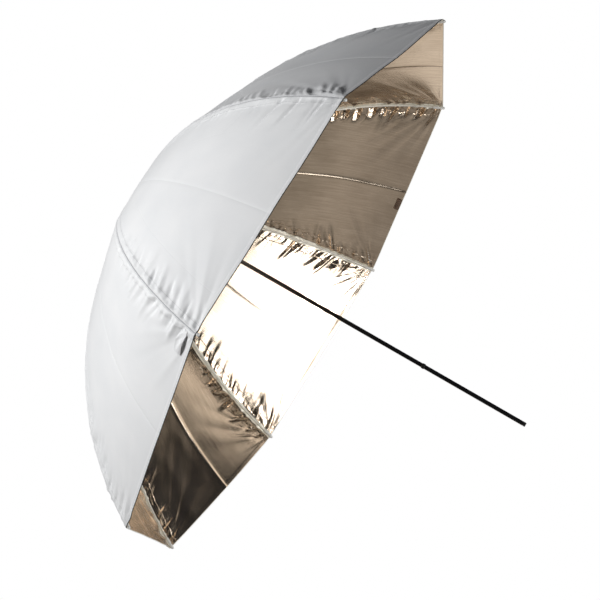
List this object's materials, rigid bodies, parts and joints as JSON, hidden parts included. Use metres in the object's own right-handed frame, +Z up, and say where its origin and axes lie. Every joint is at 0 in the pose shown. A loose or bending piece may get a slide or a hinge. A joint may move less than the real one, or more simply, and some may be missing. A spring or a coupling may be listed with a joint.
{
  "type": "umbrella reflector",
  "caption": "Folding umbrella reflector: ribbed dome canopy, white outside and metallised inside, on a thin plain tube, with ribs, stretchers, sliding runner and catch.",
  "frame": {"origin": "the point of the shaft axis that a stand's umbrella clamp grips, 180 mm from the free end", "axes": "Y along the shaft with the canopy's apex towards +Y and the open bowl and free end towards -Y; +Z up, with rib 3 straight up"},
  "size_m": [0.9886, 0.742, 0.9886],
  "materials": {
    "black_enamel": "gloss",
    "black_plastic": "satin",
    "white_plastic": "satin",
    "spring_steel": "bright zinc",
    "canopy_cloth": "white nylon outside, champagne metallised inside",
    "brown_label": "matt"
  },
  "bodies": {
    "root": {"shaft": "black_enamel", "shaft_end_plug": "black_plastic", "apex_cap": "white_plastic", "fabric_washer": "white_plastic", "top_notch": "white_plastic", "notch_wire": "spring_steel", "runner_stop": "black_plastic"},
    "runner": {"runner": "white_plastic", "runner_wire": "spring_steel"},
    "catch": {"catch_spring": "spring_steel"},
    "rib_1": {"rib_1": "spring_steel", "rib_tip_1": "white_plastic", "rib_clip_1": "spring_steel"},
    "stretcher_1": {"stretcher_1": "spring_steel"},
    "rib_2": {"rib_2": "spring_steel", "rib_tip_2": "white_plastic", "rib_clip_2": "spring_steel"},
    "stretcher_2": {"stretcher_2": "spring_steel"},
    "rib_3": {"rib_3": "spring_steel", "rib_tip_3": "white_plastic", "rib_clip_3": "spring_steel"},
    "stretcher_3": {"stretcher_3": "spring_steel"},
    "rib_4": {"rib_4": "spring_steel", "rib_tip_4": "white_plastic", "rib_clip_4": "spring_steel"},
    "stretcher_4": {"stretcher_4": "spring_steel"},
    "rib_5": {"rib_5": "spring_steel", "rib_tip_5": "white_plastic", "rib_clip_5": "spring_steel"},
    "stretcher_5": {"stretcher_5": "spring_steel"},
    "rib_6": {"rib_6": "spring_steel", "rib_tip_6": "white_plastic", "rib_clip_6": "spring_steel"},
    "stretcher_6": {"stretcher_6": "spring_steel"},
    "rib_7": {"rib_7": "spring_steel", "rib_tip_7": "white_plastic", "rib_clip_7": "spring_steel"},
    "stretcher_7": {"stretcher_7": "spring_steel"},
    "rib_8": {"rib_8": "spring_steel", "rib_tip_8": "white_plastic", "rib_clip_8": "spring_steel"},
    "stretcher_8": {"stretcher_8": "spring_steel"},
    "gore_1a": {"half_gore_1a": "canopy_cloth", "hem_label": "brown_label"},
    "gore_1b": {"half_gore_1b": "canopy_cloth"},
    "gore_2a": {"half_gore_2a": "canopy_cloth"},
    "gore_2b": {"half_gore_2b": "canopy_cloth"},
    "gore_3a": {"half_gore_3a": "canopy_cloth"},
    "gore_3b": {"half_gore_3b": "canopy_cloth"},
    "gore_4a": {"half_gore_4a": "canopy_cloth"},
    "gore_4b": {"half_gore_4b": "canopy_cloth"},
    "gore_5a": {"half_gore_5a": "canopy_cloth", "tie_strap": "canopy_cloth"},
    "gore_5b": {"half_gore_5b": "canopy_cloth"},
    "gore_6a": {"half_gore_6a": "canopy_cloth"},
    "gore_6b": {"half_gore_6b": "canopy_cloth"},
    "gore_7a": {"half_gore_7a": "canopy_cloth"},
    "gore_7b": {"half_gore_7b": "canopy_cloth"},
    "gore_8a": {"half_gore_8a": "canopy_cloth"},
    "gore_8b": {"half_gore_8b": "canopy_cloth"}
  },
  "joints": [
    {"name": "runner_slide", "type": "slide", "parent": "root", "child": "runner", "axis": [0, -1, 0], "range_m": [0, 0.32219], "deforming": ["half_gore_1a", "hem_label", "half_gore_1b", "half_gore_2a", "half_gore_2b", "half_gore_3a", "half_gore_3b", "half_gore_4a", "half_gore_4b", "half_gore_5a", "tie_strap", "half_gore_5b", "half_gore_6a", "half_gore_6b", "half_gore_7a", "half_gore_7b", "half_gore_8a", "half_gore_8b"]},
    {"name": "catch_press", "type": "slide", "parent": "root", "child": "catch", "axis": [-0.9239, 0, -0.3827], "range_m": [0, 0.0019], "stiffness_N_per_m": 900},
    {"name": "rib_1_fold", "type": "hinge", "parent": "root", "child": "rib_1", "pos_m": [0.0115, 0.54712, 0], "axis": [0, 0, -1], "range_deg": [0, 55.03]},
    {"name": "stretcher_1_fold", "type": "hinge", "parent": "runner", "child": "stretcher_1", "pos_m": [0.0115, 0.393, 0], "axis": [0, 0, 1], "range_deg": [0, 68.04]},
    {"name": "rib_2_fold", "type": "hinge", "parent": "root", "child": "rib_2", "pos_m": [0.00813, 0.54712, 0.00813], "axis": [0.7071, 0, -0.7071], "range_deg": [0, 55.03]},
    {"name": "stretcher_2_fold", "type": "hinge", "parent": "runner", "child": "stretcher_2", "pos_m": [0.00813, 0.393, 0.00813], "axis": [-0.7071, 0, 0.7071], "range_deg": [0, 68.04]},
    {"name": "rib_3_fold", "type": "hinge", "parent": "root", "child": "rib_3", "pos_m": [0, 0.54712, 0.0115], "axis": [1, 0, 0], "range_deg": [0, 55.03]},
    {"name": "stretcher_3_fold", "type": "hinge", "parent": "runner", "child": "stretcher_3", "pos_m": [0, 0.393, 0.0115], "axis": [-1, 0, 0], "range_deg": [0, 68.04]},
    {"name": "rib_4_fold", "type": "hinge", "parent": "root", "child": "rib_4", "pos_m": [-0.00813, 0.54712, 0.00813], "axis": [0.7071, 0, 0.7071], "range_deg": [0, 55.03]},
    {"name": "stretcher_4_fold", "type": "hinge", "parent": "runner", "child": "stretcher_4", "pos_m": [-0.00813, 0.393, 0.00813], "axis": [-0.7071, 0, -0.7071], "range_deg": [0, 68.04]},
    {"name": "rib_5_fold", "type": "hinge", "parent": "root", "child": "rib_5", "pos_m": [-0.0115, 0.54712, 0], "axis": [0, 0, 1], "range_deg": [0, 55.03]},
    {"name": "stretcher_5_fold", "type": "hinge", "parent": "runner", "child": "stretcher_5", "pos_m": [-0.0115, 0.393, 0], "axis": [0, 0, -1], "range_deg": [0, 68.04]},
    {"name": "rib_6_fold", "type": "hinge", "parent": "root", "child": "rib_6", "pos_m": [-0.00813, 0.54712, -0.00813], "axis": [-0.7071, 0, 0.7071], "range_deg": [0, 55.03]},
    {"name": "stretcher_6_fold", "type": "hinge", "parent": "runner", "child": "stretcher_6", "pos_m": [-0.00813, 0.393, -0.00813], "axis": [0.7071, 0, -0.7071], "range_deg": [0, 68.04]},
    {"name": "rib_7_fold", "type": "hinge", "parent": "root", "child": "rib_7", "pos_m": [0, 0.54712, -0.0115], "axis": [-1, 0, 0], "range_deg": [0, 55.03]},
    {"name": "stretcher_7_fold", "type": "hinge", "parent": "runner", "child": "stretcher_7", "pos_m": [0, 0.393, -0.0115], "axis": [1, 0, 0], "range_deg": [0, 68.04]},
    {"name": "rib_8_fold", "type": "hinge", "parent": "root", "child": "rib_8", "pos_m": [0.00813, 0.54712, -0.00813], "axis": [-0.7071, 0, -0.7071], "range_deg": [0, 55.03]},
    {"name": "stretcher_8_fold", "type": "hinge", "parent": "runner", "child": "stretcher_8", "pos_m": [0.00813, 0.393, -0.00813], "axis": [0.7071, 0, 0.7071], "range_deg": [0, 68.04]},
    {"name": "gore_1a_fold", "type": "hinge", "parent": "rib_1", "child": "gore_1a", "pos_m": [0.0115, 0.54712, 0], "axis": [-0.8371, 0.547, 0], "range_deg": [0, 64.51]},
    {"name": "gore_1b_fold", "type": "hinge", "parent": "rib_2", "child": "gore_1b", "pos_m": [0.00813, 0.54712, 0.00813], "axis": [0.5919, -0.547, 0.5919], "range_deg": [0, 64.51]},
    {"name": "gore_2a_fold", "type": "hinge", "parent": "rib_2", "child": "gore_2a", "pos_m": [0.00813, 0.54712, 0.00813], "axis": [-0.5919, 0.547, -0.5919], "range_deg": [0, 64.51]},
    {"name": "gore_2b_fold", "type": "hinge", "parent": "rib_3", "child": "gore_2b", "pos_m": [0, 0.54712, 0.0115], "axis": [0, -0.547, 0.8371], "range_deg": [0, 64.51]},
    {"name": "gore_3a_fold", "type": "hinge", "parent": "rib_3", "child": "gore_3a", "pos_m": [0, 0.54712, 0.0115], "axis": [0, 0.547, -0.8371], "range_deg": [0, 64.51]},
    {"name": "gore_3b_fold", "type": "hinge", "parent": "rib_4", "child": "gore_3b", "pos_m": [-0.00813, 0.54712, 0.00813], "axis": [-0.5919, -0.547, 0.5919], "range_deg": [0, 64.51]},
    {"name": "gore_4a_fold", "type": "hinge", "parent": "rib_4", "child": "gore_4a", "pos_m": [-0.00813, 0.54712, 0.00813], "axis": [0.5919, 0.547, -0.5919], "range_deg": [0, 64.51]},
    {"name": "gore_4b_fold", "type": "hinge", "parent": "rib_5", "child": "gore_4b", "pos_m": [-0.0115, 0.54712, 0], "axis": [-0.8371, -0.547, 0], "range_deg": [0, 64.51]},
    {"name": "gore_5a_fold", "type": "hinge", "parent": "rib_5", "child": "gore_5a", "pos_m": [-0.0115, 0.54712, 0], "axis": [0.8371, 0.547, 0], "range_deg": [0, 64.51]},
    {"name": "gore_5b_fold", "type": "hinge", "parent": "rib_6", "child": "gore_5b", "pos_m": [-0.00813, 0.54712, -0.00813], "axis": [-0.5919, -0.547, -0.5919], "range_deg": [0, 64.51]},
    {"name": "gore_6a_fold", "type": "hinge", "parent": "rib_6", "child": "gore_6a", "pos_m": [-0.00813, 0.54712, -0.00813], "axis": [0.5919, 0.547, 0.5919], "range_deg": [0, 64.51]},
    {"name": "gore_6b_fold", "type": "hinge", "parent": "rib_7", "child": "gore_6b", "pos_m": [0, 0.54712, -0.0115], "axis": [0, -0.547, -0.8371], "range_deg": [0, 64.51]},
    {"name": "gore_7a_fold", "type": "hinge", "parent": "rib_7", "child": "gore_7a", "pos_m": [0, 0.54712, -0.0115], "axis": [0, 0.547, 0.8371], "range_deg": [0, 64.51]},
    {"name": "gore_7b_fold", "type": "hinge", "parent": "rib_8", "child": "gore_7b", "pos_m": [0.00813, 0.54712, -0.00813], "axis": [0.5919, -0.547, -0.5919], "range_deg": [0, 64.51]},
    {"name": "gore_8a_fold", "type": "hinge", "parent": "rib_8", "child": "gore_8a", "pos_m": [0.00813, 0.54712, -0.00813], "axis": [-0.5919, 0.547, 0.5919], "range_deg": [0, 64.51]},
    {"name": "gore_8b_fold", "type": "hinge", "parent": "rib_1", "child": "gore_8b", "pos_m": [0.0115, 0.54712, 0], "axis": [0.8371, -0.547, 0], "range_deg": [0, 64.51]}
  ],
  "couplings": [
    {"joint": "rib_1_fold", "follows": "runner_slide", "rad_per_m": 2.9785},
    {"joint": "stretcher_1_fold", "follows": "runner_slide", "rad_per_m": 3.6829},
    {"joint": "rib_2_fold", "follows": "runner_slide", "rad_per_m": 2.9785},
    {"joint": "stretcher_2_fold", "follows": "runner_slide", "rad_per_m": 3.6829},
    {"joint": "rib_3_fold", "follows": "runner_slide", "rad_per_m": 2.9785},
    {"joint": "stretcher_3_fold", "follows": "runner_slide", "rad_per_m": 3.6829},
    {"joint": "rib_4_fold", "follows": "runner_slide", "rad_per_m": 2.9785},
    {"joint": "stretcher_4_fold", "follows": "runner_slide", "rad_per_m": 3.6829},
    {"joint": "rib_5_fold", "follows": "runner_slide", "rad_per_m": 2.9785},
    {"joint": "stretcher_5_fold", "follows": "runner_slide", "rad_per_m": 3.6829},
    {"joint": "rib_6_fold", "follows": "runner_slide", "rad_per_m": 2.9785},
    {"joint": "stretcher_6_fold", "follows": "runner_slide", "rad_per_m": 3.6829},
    {"joint": "rib_7_fold", "follows": "runner_slide", "rad_per_m": 2.9785},
    {"joint": "stretcher_7_fold", "follows": "runner_slide", "rad_per_m": 3.6829},
    {"joint": "rib_8_fold", "follows": "runner_slide", "rad_per_m": 2.9785},
    {"joint": "stretcher_8_fold", "follows": "runner_slide", "rad_per_m": 3.6829},
    {"joint": "gore_1a_fold", "follows": "runner_slide", "rad_per_m": 3.4918},
    {"joint": "gore_1b_fold", "follows": "runner_slide", "rad_per_m": 3.4918},
    {"joint": "gore_2a_fold", "follows": "runner_slide", "rad_per_m": 3.4918},
    {"joint": "gore_2b_fold", "follows": "runner_slide", "rad_per_m": 3.4918},
    {"joint": "gore_3a_fold", "follows": "runner_slide", "rad_per_m": 3.4918},
    {"joint": "gore_3b_fold", "follows": "runner_slide", "rad_per_m": 3.4918},
    {"joint": "gore_4a_fold", "follows": "runner_slide", "rad_per_m": 3.4918},
    {"joint": "gore_4b_fold", "follows": "runner_slide", "rad_per_m": 3.4918},
    {"joint": "gore_5a_fold", "follows": "runner_slide", "rad_per_m": 3.4918},
    {"joint": "gore_5b_fold", "follows": "runner_slide", "rad_per_m": 3.4918},
    {"joint": "gore_6a_fold", "follows": "runner_slide", "rad_per_m": 3.4918},
    {"joint": "gore_6b_fold", "follows": "runner_slide", "rad_per_m": 3.4918},
    {"joint": "gore_7a_fold", "follows": "runner_slide", "rad_per_m": 3.4918},
    {"joint": "gore_7b_fold", "follows": "runner_slide", "rad_per_m": 3.4918},
    {"joint": "gore_8a_fold", "follows": "runner_slide", "rad_per_m": 3.4918},
    {"joint": "gore_8b_fold", "follows": "runner_slide", "rad_per_m": 3.4918}
  ]
}
